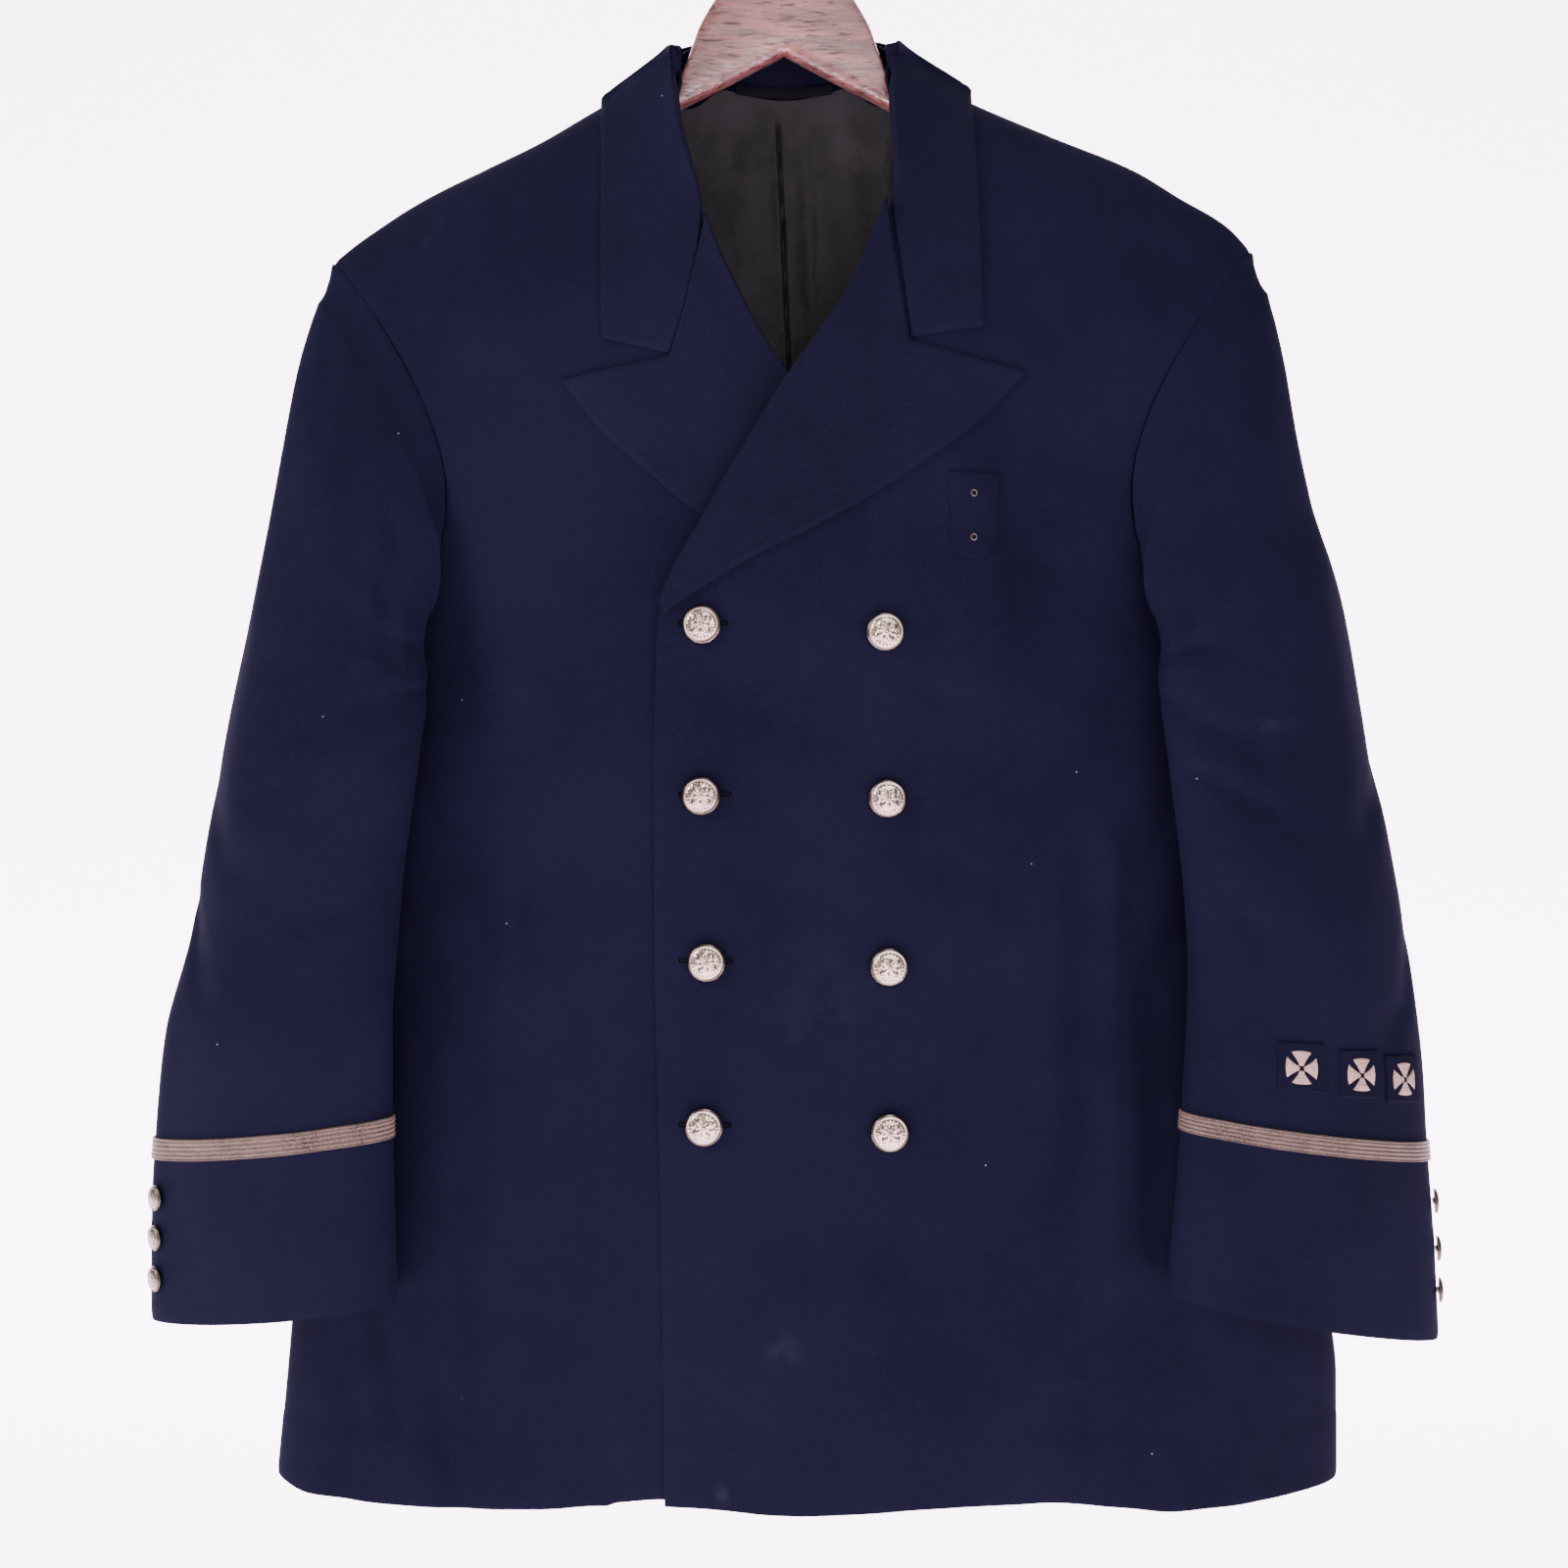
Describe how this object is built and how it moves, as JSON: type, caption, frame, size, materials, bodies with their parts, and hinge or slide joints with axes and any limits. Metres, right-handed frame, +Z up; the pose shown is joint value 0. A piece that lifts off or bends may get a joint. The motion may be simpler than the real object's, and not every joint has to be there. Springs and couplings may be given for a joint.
{
  "type": "dress jacket",
  "caption": "Double-breasted navy wool uniform jacket with peak lapels, metal buttons and cuff braid, hanging closed on a wooden hanger.",
  "frame": {"origin": "inner top of the hanger's hook, where a rail carries it", "axes": "X to the viewer's right as the jacket is seen from the front, the front faces -Y, +Z up"},
  "size_m": [0.7767, 0.1296, 1.0016],
  "materials": {
    "navy_wool": "close wool cloth, soft nap",
    "black_lining": "smooth lining with a soft sheen",
    "black_tape": "woven tape",
    "silver_braid": "tarnished metal thread",
    "nickel": "pale warm nickel plate",
    "dull_nickel": "worn nickel plate",
    "mahogany": "varnished, red brown",
    "bright_steel": "bright wire"
  },
  "bodies": {
    "root": {"front_under": "navy_wool", "front_over": "navy_wool", "back_viewer_left": "navy_wool", "back_viewer_right": "navy_wool", "sleeve_top_left": "navy_wool", "sleeve_under_left": "navy_wool", "sleeve_top_right": "navy_wool", "sleeve_under_right": "navy_wool", "collar_leaf": "navy_wool", "collar_stand": "navy_wool", "lapel_under": "navy_wool", "lapel_over": "navy_wool", "badge_tab": "navy_wool", "patch_1": "navy_wool", "patch_2": "navy_wool", "patch_3": "navy_wool", "back_lining": "black_lining", "hanger_loop": "black_tape", "braid_left": "silver_braid", "braid_right": "silver_braid", "cross_1": "silver_braid", "cross_2": "silver_braid", "cross_3": "silver_braid", "button_left_1": "nickel", "button_left_2": "nickel", "button_left_3": "nickel", "button_left_4": "nickel", "cuff_button_left_1": "dull_nickel", "cuff_button_left_2": "dull_nickel", "cuff_button_left_3": "dull_nickel", "button_right_1": "nickel", "button_right_2": "nickel", "button_right_3": "nickel", "button_right_4": "nickel", "cuff_button_right_1": "dull_nickel", "cuff_button_right_2": "dull_nickel", "cuff_button_right_3": "dull_nickel", "hanger_wood": "mahogany", "hanger_hook": "bright_steel"}
  },
  "joints": []
}
